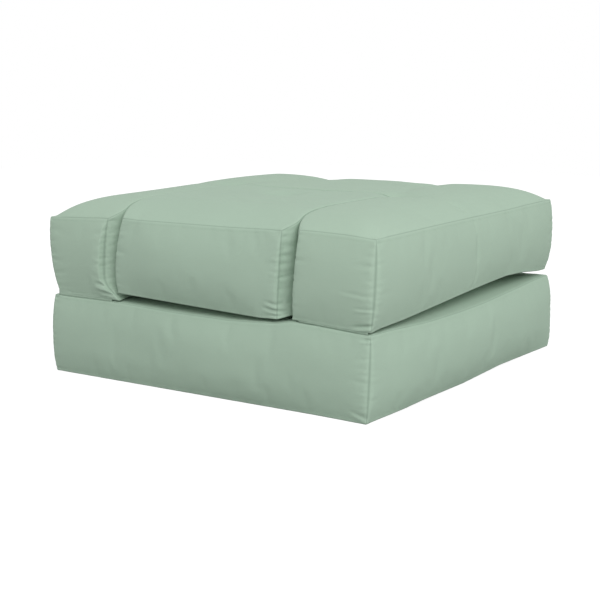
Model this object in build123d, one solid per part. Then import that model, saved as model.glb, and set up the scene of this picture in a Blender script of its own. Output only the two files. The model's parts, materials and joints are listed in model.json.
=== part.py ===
from build123d import *
import os

# A chair bed: a soft cube of three stuffed cushions. A square base cushion carries a U-shaped
# upper cushion, whose slot holds the back block. The upper cushion folds over forwards on two
# front hinges and makes a bed, and the back block flips back on its own hinge and makes a chair.
# The origin is at the middle of the underside, the slot opens towards -Y and +Z is up.

os.makedirs("parts", exist_ok=True)

# The closed cube at its seams.
width = 970
depth = 970
border_bulge = 12

# Cloth, clearances and cutting overrun.
cloth = 1.5
fit_gap = 0.3
layer_gap = 0.3
overrun = 20

# The base cushion, from the floor up.
base_rest_crown = 8
base_border = 195
base_top_crown = 12

# The upper cushion and the back block, from the base up.
upper_rest_crown = 12
upper_border = 188
upper_top_crown = 50

# The slot and the back block in it.
arm_width = 220
slit_width = 2
slot_depth = 485
mouth_depth = 90
mouth_draw = 36
tight_corner = 9
groove_depth = 24
groove_reach = 18

# Fillings: the foam cores, with cotton below and above them.
base_foam = 80
upper_foam = 70

# Tufting ties and the dimples that they draw in.
tie_diameter = 3
tie_sides = 6
knot_diameter = 12
knot_height = 1.5
dimple_sides = 12
full_turn = 360
dimple_seat = 8
dimple_depth = 16
dimple_radius = 110
under_dimple_depth = 4
under_dimple_radius = 35
base_tuft_place = 190
block_tuft_back = 125
rear_tuft_place = 170

# Pinched dimples at the inner ends of the slits.
pinch_place = 268
pinch_back = 6
pinch_depth = 18
pinch_radius = 70

# Hinge leaves of doubled cloth.
leaf = 1.2
leaf_end_gap = 1
front_leaf_margin = 14
back_leaf_height = 70
back_leaf_margin = 72

# Crowns, as shares of the half width: end of the flat middle, the shoulder, and the shoulder's
# share of the rise. The ring half way up a dimple, as shares of its run and of its depth.
crown_shares = (0.4, 0.82, 0.84)
floor_crown_shares = (0.84, 0.93, 0.75)
dimple_mid_shares = (0.5, 0.27)

# Place of the rear tufts, as a share of the way from the slot's end to the back.
rear_tuft_share = 0.64

# Levels worked out from the sizes above.
base_low_seam = base_rest_crown
base_high_seam = base_low_seam + base_border
base_top = base_high_seam + base_top_crown
upper_underside = base_top + layer_gap
upper_low_seam = upper_underside + upper_rest_crown
upper_high_seam = upper_low_seam + upper_border
upper_top = upper_high_seam + upper_top_crown

half_width = width / 2
half_depth = depth / 2
front = -half_depth - border_bulge
slot_half = half_width - arm_width
slot_end = slot_depth - half_depth
block_half = slot_half - slit_width
hinge_slit = leaf + layer_gap
filling_inset = cloth + fit_gap
upper_hinge_y = front - layer_gap
upper_hinge_z = (base_top + upper_underside) / 2
base_foam_low = base_low_seam + (base_border - base_foam) / 2
base_foam_high = base_foam_low + base_foam
upper_foam_low = upper_low_seam + (upper_border - upper_foam) / 2
upper_foam_high = upper_foam_low + upper_foam


def crown_edges(half, seam, rise, flat_share, shoulder_share, shoulder_rise_share, side):
    """Two arcs from the flat middle over the shoulder to the seam, on one side of a profile."""
    level = seam + rise
    flat_end = (side * half * flat_share, level)
    shoulder = (side * half * shoulder_share, seam + rise * shoulder_rise_share)
    first = TangentArc(flat_end, shoulder, tangent=(side, 0))
    second = TangentArc(shoulder, (side * half, seam), tangent=first % 1)
    return [first, second]


def profile(half, low_seam, high_seam, low_rise, low_shares, high_rise, inset):
    """Upright section of a cushion: flat middles, rounded crowns and bulged borders."""
    edge = half - inset
    middle = (low_seam + high_seam) / 2
    high = high_rise - inset
    low = inset - low_rise
    edges = []
    for side in (-1, 1):
        edges += crown_edges(edge, high_seam, high, *crown_shares, side)
        edges += crown_edges(edge, low_seam, low, *low_shares, side)
        edges.append(
            ThreePointArc(
                (side * edge, low_seam),
                (side * (edge + border_bulge), middle),
                (side * edge, high_seam),
            )
        )
    flat_high = edge * crown_shares[0]
    flat_low = edge * low_shares[0]
    edges.append(Line((-flat_high, high_seam + high), (flat_high, high_seam + high)))
    edges.append(Line((-flat_low, low_seam + low), (flat_low, low_seam + low)))
    return make_face(Curve(edges))


def box_cushion(low_seam, high_seam, low_rise, low_shares, high_rise, inset):
    """Box cushion: one profile run from front to back, crossed with one run from side to side."""
    sizes = (low_seam, high_seam, low_rise, low_shares, high_rise, inset)
    reach = half_width + half_depth
    lengthwise = extrude(Plane.XZ * profile(half_width, *sizes), amount=reach, both=True)
    crosswise = extrude(Plane.YZ * profile(half_depth, *sizes), amount=reach, both=True)
    return lengthwise & crosswise


def slab(low, high):
    """Everything between two levels."""
    side = 2 * (width + depth)
    return Pos(0, 0, (low + high) / 2) * Box(side, side, high - low)


def channel(left, right, left_flare, left_run, right_flare, right_run, end):
    """Upright prism from its end to past the front, whose sides flare by arcs near the front."""
    mouth = front - overrun
    left_start = (left, -half_depth + left_run)
    left_foot = (left + left_flare, front)
    right_start = (right, -half_depth + right_run)
    right_foot = (right + right_flare, front)
    left_arc = TangentArc(left_start, left_foot, tangent=(0, -1))
    right_arc = TangentArc(right_start, right_foot, tangent=(0, -1))
    mouth_line = Polyline(left_foot, (left_foot[0], mouth), (right_foot[0], mouth), right_foot)
    end_line = Polyline(left_start, (left, end), (right, end), right_start)
    plan = make_face(Curve([left_arc, mouth_line, right_arc, end_line]))
    return extrude(plan, amount=upper_top + overrun)


def slot(inset):
    """Slot of the upper cushion; its left side flares at the mouth."""
    return channel(
        -slot_half - inset,
        slot_half + inset,
        -mouth_draw,
        mouth_depth,
        tight_corner,
        tight_corner,
        slot_end + hinge_slit + inset,
    )


def block_space(inset):
    """Room of the back block in the slot; its right side draws back at the mouth."""
    return channel(
        inset - block_half,
        block_half - inset,
        tight_corner,
        tight_corner,
        -mouth_draw,
        mouth_depth,
        slot_end - hinge_slit - inset,
    )


def groove(side, inset):
    """Furrow over a slit, between the rounded top edges of an arm and the back block."""
    x = side * (slot_half - slit_width / 2)
    low = upper_top - groove_depth - inset
    reach = groove_reach + inset
    high = upper_top + overrun
    left_arc = TangentArc((x, low), (x - reach, upper_top), tangent=(0, 1))
    right_arc = TangentArc((x, low), (x + reach, upper_top), tangent=(0, 1))
    roof = Polyline((x - reach, upper_top), (x - reach, high), (x + reach, high), (x + reach, upper_top))
    profile = make_face(Plane.XZ * Curve([left_arc, roof, right_arc]))
    length = slot_end + hinge_slit + inset - front + overrun
    return extrude(Pos(0, front - overrun, 0) * profile, amount=length, dir=(0, 1, 0))


def dish(x, y, seat_level, deep, reach, facing):
    """Many-sided dimple with a flat seat, which opens upwards (facing 1) or down (facing -1)."""
    seat = Vector(x, y, seat_level)
    half_way = dimple_seat + (reach - dimple_seat) * dimple_mid_shares[0]
    rings = []
    for radius, rise in (
        (dimple_seat, 0),
        (half_way, deep * dimple_mid_shares[1]),
        (reach, deep),
        (reach + overrun, deep + overrun),
    ):
        spoke = Vector(radius, 0, facing * rise)
        turns = [full_turn * count / dimple_sides for count in range(dimple_sides)]
        rings.append([seat + spoke.rotate(Axis.Z, turn) for turn in turns])
    outlines = [rings[0], rings[-1]]
    for inner, outer in zip(rings, rings[1:]):
        for count in range(dimple_sides):
            outlines.append([inner[count - 1], inner[count], outer[count], outer[count - 1]])
    faces = [make_face(Polyline(*outline, close=True)).face() for outline in outlines]
    return Solid(Shell(faces))


class Tuft:
    """One tufting tie with the dimples that it draws into the top and the underside."""

    def __init__(self, x, y, top, underside, top_depth, top_reach):
        self.x = x
        self.y = y
        self.high_seat = top - top_depth
        self.low_seat = underside + under_dimple_depth
        self.top_depth = top_depth
        self.top_reach = top_reach

    def dimples(self, inset):
        """Both dimples, as deep in the layer that lies this far inside the cloth."""
        return [
            dish(self.x, self.y, self.high_seat - inset, self.top_depth, self.top_reach, 1),
            dish(
                self.x,
                self.y,
                self.low_seat + inset,
                under_dimple_depth,
                under_dimple_radius,
                -1,
            ),
        ]

    def post(self, radius, low, high):
        """Upright six-sided rod on the line of the tie."""
        section = Pos(self.x, self.y, low) * RegularPolygon(radius, tie_sides)
        return extrude(section, amount=high - low, dir=(0, 0, 1))

    def hole(self):
        """Hole that the cord passes through."""
        return self.post(
            tie_diameter / 2 + fit_gap,
            self.low_seat - overrun,
            self.high_seat + overrun,
        )

    def tie(self):
        """Cord with a flat knot at each end, drawn tight on the cloth."""
        cord = self.post(tie_diameter / 2, self.low_seat, self.high_seat)
        high = self.post(knot_diameter / 2, self.high_seat, self.high_seat + knot_height)
        low = self.post(knot_diameter / 2, self.low_seat - knot_height, self.low_seat)
        return cord + high + low


def base_shape(inset):
    """The base cushion, this far inside its cloth."""
    shape = box_cushion(
        base_low_seam,
        base_high_seam,
        base_rest_crown,
        floor_crown_shares,
        base_top_crown,
        inset,
    )
    return dimpled(shape, base_tufts, inset)


def upper_layer(inset):
    """The whole upper layer, with the furrows over its slits and the pinches at their ends."""
    shape = box_cushion(
        upper_low_seam,
        upper_high_seam,
        upper_rest_crown,
        crown_shares,
        upper_top_crown,
        inset,
    )
    for side in (-1, 1):
        shape -= groove(side, inset)
        shape -= dish(
            side * pinch_place,
            slot_end + pinch_back,
            upper_top - pinch_depth - inset,
            pinch_depth,
            pinch_radius,
            1,
        )
    return shape


def upper_shape(inset):
    """The U-shaped upper cushion, this far inside its cloth."""
    return dimpled(upper_layer(inset) - slot(inset), rear_tufts, inset)


def block_shape(inset):
    """The back block, this far inside its cloth."""
    return dimpled(upper_layer(inset) & block_space(inset), block_tufts, inset)


def dimpled(shape, tufts, inset):
    """A cushion with the dimples of its tufts."""
    for tuft in tufts:
        for hollow in tuft.dimples(inset):
            shape -= hollow
    return shape


def parted(shape, low_cut, high_cut, tufts):
    """Three layers of a shape, from the lowest up, bored for the ties."""
    for tuft in tufts:
        shape -= tuft.hole()
    return [
        shape & slab(-overrun, low_cut),
        shape & slab(low_cut, high_cut),
        shape & slab(high_cut, upper_top + overrun),
    ]


def strip_space(x_low, x_high, y_low, y_high):
    """Upright prism over a rectangle of the plan."""
    tall = 2 * (upper_top + overrun)
    middle = Pos((x_low + x_high) / 2, (y_low + y_high) / 2, 0)
    return middle * Box(x_high - x_low, y_high - y_low, tall)


def front_leaf(x_low, x_high, seam_level, cushion):
    """Hinge leaf from the fold line to a front seam, trimmed to lie against the cushion."""
    fold = Vector(0, upper_hinge_y, upper_hinge_z)
    seam = Vector(0, -half_depth, seam_level)
    along = (seam - fold).normalized()
    across = along.cross(Vector(1, 0, 0)) * (leaf / 2)
    start = fold + along * leaf_end_gap
    end = seam + along * border_bulge
    profile = make_face(
        Polyline(start - across, end - across, end + across, start + across, close=True)
    )
    strip = extrude(Pos(x_low, 0, 0) * profile, amount=x_high - x_low, dir=(1, 0, 0))
    return strip - cushion


def write(name, shape):
    """One STEP file for each piece."""
    solids = shape.solids()
    export_step(Compound(solids) if len(solids) > 1 else solids[0], "parts/" + name + ".step")


base_tufts = [
    Tuft(x, y, base_top, 0, under_dimple_depth, under_dimple_radius)
    for x in (-base_tuft_place, base_tuft_place)
    for y in (-base_tuft_place, base_tuft_place)
]
block_tufts = [
    Tuft(
        0,
        slot_end - block_tuft_back,
        upper_top,
        upper_underside,
        dimple_depth,
        dimple_radius,
    )
]
rear_tufts = [
    Tuft(
        x,
        slot_end + (half_depth - slot_end) * rear_tuft_share,
        upper_top,
        upper_underside,
        dimple_depth,
        dimple_radius,
    )
    for x in (-rear_tuft_place, rear_tuft_place)
]

# Covers, each of an underside panel, a border strip and a top panel, sewn at the two seams.
for cushion, shape_at, low_seam, high_seam, tufts in (
    ("base", base_shape, base_low_seam, base_high_seam, base_tufts),
    ("upper", upper_shape, upper_low_seam, upper_high_seam, rear_tufts),
    ("back_block", block_shape, upper_low_seam, upper_high_seam, block_tufts),
):
    underside, strip, top = parted(shape_at(0) - shape_at(cloth), low_seam, high_seam, tufts)
    write(cushion + "_underside_panel", underside)
    write(cushion + "_border_strip", strip)
    write(cushion + "_top_panel", top)

# Fillings: a foam core between two layers of cotton. The upper cushion is filled as two arms
# and a rear block between them.
upper_inside = upper_shape(filling_inset)
rear_half = slot_half - fit_gap
left_arm_space = strip_space(-width, -slot_half, -depth, depth)
right_arm_space = strip_space(slot_half, width, -depth, depth)
rear_space = strip_space(-rear_half, rear_half, slot_end, depth)
for cushion, inside, foam_low, foam_high, tufts in (
    ("base", base_shape(filling_inset), base_foam_low, base_foam_high, base_tufts),
    ("left_arm", upper_inside & left_arm_space, upper_foam_low, upper_foam_high, []),
    ("right_arm", upper_inside & right_arm_space, upper_foam_low, upper_foam_high, []),
    ("rear", upper_inside & rear_space, upper_foam_low, upper_foam_high, rear_tufts),
    ("back_block", block_shape(filling_inset), upper_foam_low, upper_foam_high, block_tufts),
):
    lower_cotton, foam, upper_cotton = parted(inside, foam_low, foam_high, tufts)
    write(cushion + "_lower_cotton", lower_cotton)
    write(cushion + "_foam_core", foam)
    write(cushion + "_upper_cotton", upper_cotton)

# Tufting ties.
for name, tufts in (
    ("base_tuft_ties", base_tufts),
    ("rear_tuft_ties", rear_tufts),
    ("back_block_tuft_tie", block_tufts),
):
    write(name, Compound([tuft.tie().solid() for tuft in tufts]))

# Front hinges, one at each arm.
left_leaf_span = (front_leaf_margin - half_width, -slot_half - mouth_draw - front_leaf_margin)
right_leaf_span = (slot_half + tight_corner + front_leaf_margin, half_width - front_leaf_margin)
base_seat = base_shape(-fit_gap)
upper_seat = upper_shape(-fit_gap)
for side, span in (("left", left_leaf_span), ("right", right_leaf_span)):
    write("base_" + side + "_hinge_leaf", front_leaf(*span, base_high_seam, base_seat))
    write("upper_" + side + "_hinge_leaf", front_leaf(*span, upper_low_seam, upper_seat))

# Back hinge, whose leaves hang in the slit behind the back block and meet at the fold on top.
back_leaf_half = slot_half - back_leaf_margin
back_leaf_middle = upper_top - back_leaf_height / 2
for name, side in (("back_block_hinge_leaf", -1), ("rear_hinge_leaf", 1)):
    place = Pos(0, slot_end + side * (hinge_slit - leaf / 2), back_leaf_middle)
    write(name, place * Box(2 * back_leaf_half, leaf, back_leaf_height))
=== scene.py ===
import bpy
import json
import math
import numpy as np
from mathutils import Matrix, Vector


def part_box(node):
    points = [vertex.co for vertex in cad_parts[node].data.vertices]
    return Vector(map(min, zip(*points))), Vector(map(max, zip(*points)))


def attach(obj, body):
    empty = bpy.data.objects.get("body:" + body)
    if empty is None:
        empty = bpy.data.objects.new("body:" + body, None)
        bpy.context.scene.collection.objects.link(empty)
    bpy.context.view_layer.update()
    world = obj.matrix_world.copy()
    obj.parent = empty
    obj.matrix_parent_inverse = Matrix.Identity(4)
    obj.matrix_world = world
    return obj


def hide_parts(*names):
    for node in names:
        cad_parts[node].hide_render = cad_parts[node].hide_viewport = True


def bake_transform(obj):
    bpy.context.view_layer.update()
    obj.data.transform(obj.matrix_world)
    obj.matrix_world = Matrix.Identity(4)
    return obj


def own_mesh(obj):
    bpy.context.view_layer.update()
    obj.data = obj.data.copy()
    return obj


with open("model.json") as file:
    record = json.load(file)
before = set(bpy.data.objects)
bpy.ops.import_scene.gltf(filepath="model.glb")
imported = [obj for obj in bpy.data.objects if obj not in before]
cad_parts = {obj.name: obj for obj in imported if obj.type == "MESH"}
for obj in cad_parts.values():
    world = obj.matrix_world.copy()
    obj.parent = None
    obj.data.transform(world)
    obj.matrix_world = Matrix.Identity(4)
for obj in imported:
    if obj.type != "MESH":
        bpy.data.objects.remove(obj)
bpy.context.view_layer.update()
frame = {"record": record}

# Base cushion
# A square pad of foam and cotton in a boxed cover of matt sage twill: a top panel, an underside
# panel and a border strip, sewn together, turned, and stuffed until its sides swell. It stands
# on the floor and carries the rest. Its front and right edges have sagged where people sit.
half_side = 0.485
layer_clearance = 0.0002
base_high_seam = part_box("base_border_strip")[1][2]
base_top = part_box("base_top_panel")[1][2] - layer_clearance
base_bulge = 0.017
wander_depth = 0.004
corner_bulge_share = 0.55
edge_fade = 0.11
stuffing_give = 0.0055
panel_pitch = 0.0125
border_pitch = 0.0058
seam_lines = (0.004, 0.010, 0.018)
border_lines = (0.004, 0.0085, 0.013)
stitch_row = 2
stitch_gap = border_lines[stitch_row - 1]
upper_seam_pull = 0.0011
lower_seam_push = 0.0007
stitch_pull = 0.0002
corner_seam_pull = 0.0006
tight_share = 2.2
corner_gathers = {"spacing": (0.008, 0.021), "length": (0.018, 0.028), "width": (0.003, 0.005)}
edge_gathers = {"spacing": (0.018, 0.045), "length": (0.018, 0.034), "width": (0.006, 0.010)}
thread_pitch = 0.0009
# Painted shade: the darker sage laid on each seam line, where the groove lies in shadow.
seam_painted_shade = (0.245, 0.335, 0.262)
sheen_tint = (0.75, 0.86, 0.77, 1)
slub_scale = 90
slub_stretch = (1, 14, 1)
cloud_scale = 7.0
fleck_scale = 420.0
tuft_dimple = 0.0042
tuft_reach = 0.02
lowest = 0.0003
tuft_place = 0.19
base_tufts = [(x, y) for x in (-tuft_place, tuft_place) for y in (-tuft_place, tuft_place)]
# Worn-in edges over the floor: places along an edge, and the seam's height at each.
base_front_edge = (
    (-0.485, -0.43, -0.29, -0.085, 0.09, 0.22, 0.272, 0.33, 0.40, 0.46, 0.485),
    (0.2070, 0.2060, 0.2065, 0.199, 0.197, 0.204, 0.2150, 0.2135, 0.2090, 0.2052, 0.2045),
)
base_right_edge = (
    (-0.485, -0.45, -0.37, -0.226, -0.055, 0.08, 0.30, 0.42, 0.485),
    (0.2045, 0.2025, 0.198, 0.190, 0.188, 0.189, 0.198, 0.2045, 0.206),
)
base_floor_edge = (
    (-0.485, -0.37, -0.24, -0.04, 0.18, 0.34, 0.44, 0.485),
    (0.0006, 0.0030, 0.0045, 0.0006, 0.0048, 0.0012, 0.0006, 0.0006),
)


def line_places(stops, pitch, near):
    """Places of grid lines: through every stop, close together beside it and even between."""
    places = [stops[0]]
    for start, end in zip(stops, stops[1:]):
        count = max(2, round((end - start - 2 * near[-1]) / pitch))
        even = np.linspace(start + near[-1], end - near[-1], count + 1)
        places += [start + step for step in near[:-1]] + list(even)
        places += [end - step for step in reversed(near[:-1])] + [end]
    return np.array(places)


def boxed_cover(xs, ys, inside, levels):
    """Closed grid of a boxed cushion. Each point has its plan place, share of the border's
    height, panel (-1 underside, 0 border, 1 top), outward direction and distance to the seam."""
    rows = len(levels) - 1
    middle_x, middle_y = (xs[1:] + xs[:-1]) / 2, (ys[1:] + ys[:-1]) / 2
    full = inside(*np.meshgrid(middle_x, middle_y, indexing="ij"))
    wide = np.pad(full, 1)
    whole = wide[1:, 1:] & wide[:-1, 1:] & wide[1:, :-1] & wide[:-1, :-1]
    follow = {}
    for i, j in zip(*np.nonzero(full)):
        for a, b, hidden in (
            ((i, j), (i + 1, j), wide[i + 1, j]),
            ((i + 1, j), (i + 1, j + 1), wide[i + 2, j + 1]),
            ((i + 1, j + 1), (i, j + 1), wide[i + 1, j + 2]),
            ((i, j + 1), (i, j), wide[i, j + 1]),
        ):
            if not hidden:
                follow[a] = b
    loop = [min(follow)]
    while follow[loop[-1]] != loop[0]:
        loop.append(follow[loop[-1]])
    around = len(loop)
    plan = np.array([(xs[i], ys[j]) for i, j in loop])
    along = np.roll(plan, -1, 0) - plan
    side = np.stack([along[:, 1], -along[:, 0]], 1)
    side /= np.linalg.norm(side, axis=1)[:, None]
    outward = (side + np.roll(side, 1, 0)) / 2
    # The mean of two directions is shorter than 1 only where the border turns.
    corner = np.linalg.norm(outward, axis=1) < 0.9

    inner = np.argwhere(whole)
    inner_plan = np.stack([xs[inner[:, 0]], ys[inner[:, 1]]], 1)
    spans = np.linalg.norm(along, axis=1)
    distance = np.empty(len(inner_plan))
    batch = 2000
    for at in range(0, len(inner_plan), batch):
        offset = inner_plan[at:at + batch, None, :] - plan[None]
        reach = np.clip((offset * along[None]).sum(2) / spans[None] ** 2, 0, 1)
        gap = np.linalg.norm(offset - reach[..., None] * along[None], axis=2)
        distance[at:at + batch] = gap.min(1)

    loop_number = {place: n for n, place in enumerate(loop)}
    inner_number = {tuple(place): n for n, place in enumerate(inner)}
    border_points = around * (rows + 1)
    low_start, high_start = border_points, border_points + len(inner)

    def number(i, j, row, start):
        if (i, j) in loop_number:
            return row * around + loop_number[(i, j)]
        return start + inner_number[(i, j)]

    faces = []
    for row in range(rows):
        for n in range(around):
            m = (n + 1) % around
            faces.append([row * around + n, row * around + m])
            faces[-1] += [(row + 1) * around + m, (row + 1) * around + n]
    for i, j in zip(*np.nonzero(full)):
        ring = ((i, j), (i + 1, j), (i + 1, j + 1), (i, j + 1))
        faces.append([number(*place, rows, high_start) for place in ring])
        faces.append([number(*place, 0, low_start) for place in reversed(ring)])

    count = len(inner)
    share = np.repeat(levels, around)
    return {
        "plan": np.concatenate([np.tile(plan, (rows + 1, 1)), inner_plan, inner_plan]),
        "share": np.concatenate([share, np.zeros(count), np.ones(count)]),
        "panel": np.concatenate([np.zeros(border_points), -np.ones(count), np.ones(count)]),
        "outward": np.concatenate([np.tile(outward, (rows + 1, 1)), np.zeros((2 * count, 2))]),
        "inset": np.concatenate([np.zeros(border_points), distance, distance]),
        "corner": np.tile(corner, rows + 1),
        "faces": faces,
        "around": around,
        "rows": rows,
        "loop_plan": plan,
    }


def smooth_step(value, low, high):
    """0 below low, 1 above high and a smooth rise between."""
    t = np.clip((value - low) / (high - low), 0, 1)
    return t * t * (3 - 2 * t)


def soft_hill(x, y, at_x, at_y, reach_x, reach_y):
    """A round bump of height 1."""
    return np.exp(-(((x - at_x) / reach_x) ** 2) - ((y - at_y) / reach_y) ** 2)


def near_line(gap, width):
    """1 on a line and a soft fall to 0 at about twice the width from it."""
    return np.exp(-((gap / width) ** 2))


def drift(place, size, seed):
    """Slow uneven wander between about -1 and 1, for hand-filled stuffing."""
    generator = np.random.default_rng(seed)
    total = np.zeros(len(place))
    for _ in range(9):
        direction = generator.normal(size=3)
        direction *= 2 * math.pi / size / np.linalg.norm(direction) * generator.uniform(0.6, 1.5)
        total += np.sin(place @ direction + generator.uniform(0, 2 * math.pi))
    return total / 4


def corner_hill(x, y, right, back, reach_x=0.1, reach_y=0.1):
    """A round bump over one corner of the square; right and back are 1 or -1."""
    return soft_hill(x, y, right * half_side, back * half_side, reach_x, reach_y)


def edge_heights(x, y, middle, front, right):
    """Height of an edge seam, carried inwards: it follows the front and the right edge, and runs
    straight along the others."""
    weights, total = np.zeros(np.shape(x)), np.zeros(np.shape(x))
    for gap, height in (
        (half_side + y, np.interp(x, *front)),
        (half_side - x, np.interp(y, *right)),
        (half_side + x, np.interp(-y, (-half_side, half_side), (middle, front[1][0]))),
        (half_side - y, np.interp(x, (-half_side, half_side), (middle, right[1][-1]))),
    ):
        weight = np.exp(-np.maximum(gap, 0) / edge_fade)
        weights += weight
        total += weight * (height - middle)
    return middle + total / np.maximum(weights, 1)


def crown_rise(inset, run, steepness):
    """Share of the crown's height at a distance from the seam: steep at first, then flat."""
    return 1 - (1 - np.clip(inset / run, 0, 1)) ** steepness


def pillow(x, y, run, steepness):
    """Crown of a square pad, from 0 at its four edges to 1, with full corners."""
    side = 1 - crown_rise(half_side - np.abs(x), run, steepness)
    end = 1 - crown_rise(half_side - np.abs(y), run, steepness)
    return 1 - np.minimum((side**4 + end**4) ** 0.25, 1)


def bow(share, low_fullness=2.6):
    """Share of a border's bulge from its lower seam to its upper one."""
    return 1 - np.abs(2 * share - 1) ** np.where(share < 0.5, low_fullness, 2.6)


def fullness(gap, reach):
    """A border bulges less beside its corners than further along."""
    return corner_bulge_share + (1 - corner_bulge_share) * smooth_step(gap, 0, reach)


def swell(cover, z, free, bulge, size, seed, low_fullness=2.6):
    """Points of a cover whose free borders bulge outwards, unevenly as if filled by hand."""
    x, y = cover["plan"].T
    share, outward = cover["share"], cover["outward"]
    out = outward * (np.where(free, bulge, 0) * bow(share, low_fullness))[:, None]
    places = np.stack([x + out[:, 0], y + out[:, 1], z], 1)
    wander = drift(places, size, seed) * bow(share) * free
    places[:, :2] += outward * (wander_depth * wander)[:, None]
    return places


def tie_dimples(x, y, tufts):
    """How far the ties draw a panel in."""
    return tuft_dimple * sum(soft_hill(x, y, *tuft, tuft_reach, tuft_reach) for tuft in tufts)


def heights(cover, low, high, top, under):
    """Height of each point: on the border between its two seams, else on its own panel."""
    z = np.where(cover["panel"] > 0, top, low + (high - low) * cover["share"])
    return np.where(cover["panel"] < 0, under, z)


def border_seams(cover):
    """The points that lie on a seam at the top or the foot of the border."""
    return (cover["panel"] == 0) & (np.abs(cover["share"] - 0.5) > 0.499)


def line_gap(x, y, line):
    """Distance from a bent line on a plan, and the share of the way along it."""
    best, place = np.full(np.shape(x), 9.0), np.zeros(np.shape(x))
    for number, (a, b) in enumerate(zip(line, line[1:])):
        along = np.subtract(b, a)
        t = np.clip(((x - a[0]) * along[0] + (y - a[1]) * along[1]) / (along @ along), 0, 1)
        gap = np.hypot(x - a[0] - t * along[0], y - a[1] - t * along[1])
        place = np.where(gap < best, (number + t) / (len(line) - 1), place)
        best = np.minimum(gap, best)
    return best, place


def smooth_mesh(name, corners, faces):
    """A mesh whose faces are shaded smoothly."""
    mesh = bpy.data.meshes.new(name)
    mesh.from_pydata(corners, [], faces)
    mesh.polygons.foreach_set("use_smooth", [True] * len(mesh.polygons))
    return mesh


def in_scene(name, data):
    """An object of this mesh, lamp or camera, placed in the scene."""
    item = bpy.data.objects.new(name, data)
    bpy.context.scene.collection.objects.link(item)
    return item


def cover_object(name, cover, places):
    """The cover as a mesh object. Its points carry their distance to the nearer edge seam, to
    the nearer corner seam, and whether they lie on the border."""
    mesh = smooth_mesh(name, places.tolist(), cover["faces"])
    share, around, rows = cover["share"], cover["around"], cover["rows"]
    on_border = cover["panel"] == 0
    height = places[rows * around:(rows + 1) * around, 2] - places[:around, 2]
    edge_gap = cover["inset"].copy()
    border_gap = np.minimum(share, 1 - share)[:around * (rows + 1)] * np.tile(height, rows + 1)
    edge_gap[:around * (rows + 1)] = border_gap
    plan = cover["loop_plan"]
    corners = plan[cover["corner"][:around]]
    corner_gap = np.abs(cover["plan"][:, None] - corners[None]).sum(2).min(1)
    for label, values in (
        ("edge_gap", edge_gap),
        ("corner_gap", np.where(on_border, corner_gap, 1)),
        ("border", on_border.astype(float)),
    ):
        attribute = mesh.attributes.new(label, "FLOAT", "POINT")
        attribute.data.foreach_set("value", values.astype(np.float32))
    # The weave follows each panel: its plan on the panels, its run and height on the border.
    edges = np.linalg.norm(np.roll(plan, -1, 0) - plan, axis=1)
    run = np.concatenate([[0], np.cumsum(edges)])
    corner_points = np.empty(len(mesh.loops), np.int32)
    mesh.loops.foreach_get("vertex_index", corner_points)
    flat = cover["plan"][corner_points]
    for number in range(rows * around):
        first = number % around
        for step, column in enumerate((first, first + 1, first + 1, first)):
            at = number * 4 + step
            flat[at] = (run[column], share[corner_points[at]] * height[first])
    cloth_plan = mesh.uv_layers.new(name="cloth_plan")
    cloth_plan.data.foreach_set("uv", flat.astype(np.float32).ravel())
    return in_scene(name, mesh)


def stuff(piece, freedom, held):
    """Fills the cover by a cloth simulation under pressure, in which the seams hold and no point
    moves further than its share of the give, then rounds the mesh once."""
    mesh = piece.data
    start = np.empty(len(mesh.vertices) * 3, np.float32)
    mesh.vertices.foreach_get("co", start)
    start = start.reshape(-1, 3)
    last_frame = 20
    group = piece.vertex_groups.new(name="held")
    for level in range(1, 11):
        chosen = np.flatnonzero(np.round(held * 10) == level)
        if len(chosen):
            group.add(chosen.tolist(), level / 10, "REPLACE")
    fill = piece.modifiers.new("stuffing", "CLOTH")
    fill.settings.quality = 5
    fill.settings.mass = 0.25
    fill.settings.tension_stiffness = 18
    fill.settings.compression_stiffness = 14
    fill.settings.shear_stiffness = 6
    fill.settings.bending_stiffness = 2
    fill.settings.air_damping = 2
    fill.settings.use_pressure = True
    fill.settings.uniform_pressure_force = 4
    fill.settings.shrink_min = -0.003
    fill.settings.vertex_group_mass = "held"
    fill.settings.effector_weights.gravity = 0
    fill.collision_settings.use_collision = False
    fill.point_cache.frame_start = 1
    fill.point_cache.frame_end = last_frame
    for number in range(1, last_frame + 1):
        bpy.context.scene.frame_set(number)
    shaped = piece.evaluated_get(bpy.context.evaluated_depsgraph_get())
    end = np.empty(len(mesh.vertices) * 3, np.float32)
    shaped.data.vertices.foreach_get("co", end)
    move = end.reshape(-1, 3) - start
    length = np.maximum(np.linalg.norm(move, axis=1), 1e-9)
    limit = np.maximum(stuffing_give * freedom, 1e-6)
    move *= (limit * np.tanh(length / limit) / length)[:, None]
    piece.modifiers.remove(fill)
    piece.vertex_groups.remove(group)
    bpy.context.scene.frame_set(1)
    mesh.vertices.foreach_set("co", (start + move).ravel())
    rounding = piece.modifiers.new("rounding", "SUBSURF")
    rounding.levels = rounding.render_levels = 1
    depsgraph = bpy.context.evaluated_depsgraph_get()
    rounded = bpy.data.meshes.new_from_object(
        piece.evaluated_get(depsgraph), preserve_all_data_layers=True, depsgraph=depsgraph
    )
    piece.modifiers.remove(rounding)
    name = mesh.name
    piece.data = rounded
    bpy.data.meshes.remove(mesh)
    rounded.name = name


def read_points(mesh):
    """Places, directions and sewing distances of a rounded cover's points."""
    count = len(mesh.vertices)
    found = {}
    for label, source, part in (
        ("place", mesh.vertices, "co"),
        ("facing", mesh.vertex_normals, "vector"),
    ):
        values = np.empty(count * 3, np.float32)
        source.foreach_get(part, values)
        found[label] = values.reshape(-1, 3).astype(float)
    for label in ("edge_gap", "corner_gap", "border"):
        values = np.empty(count, np.float32)
        mesh.attributes[label].data.foreach_get("value", values)
        found[label] = values.astype(float)
    return found


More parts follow.
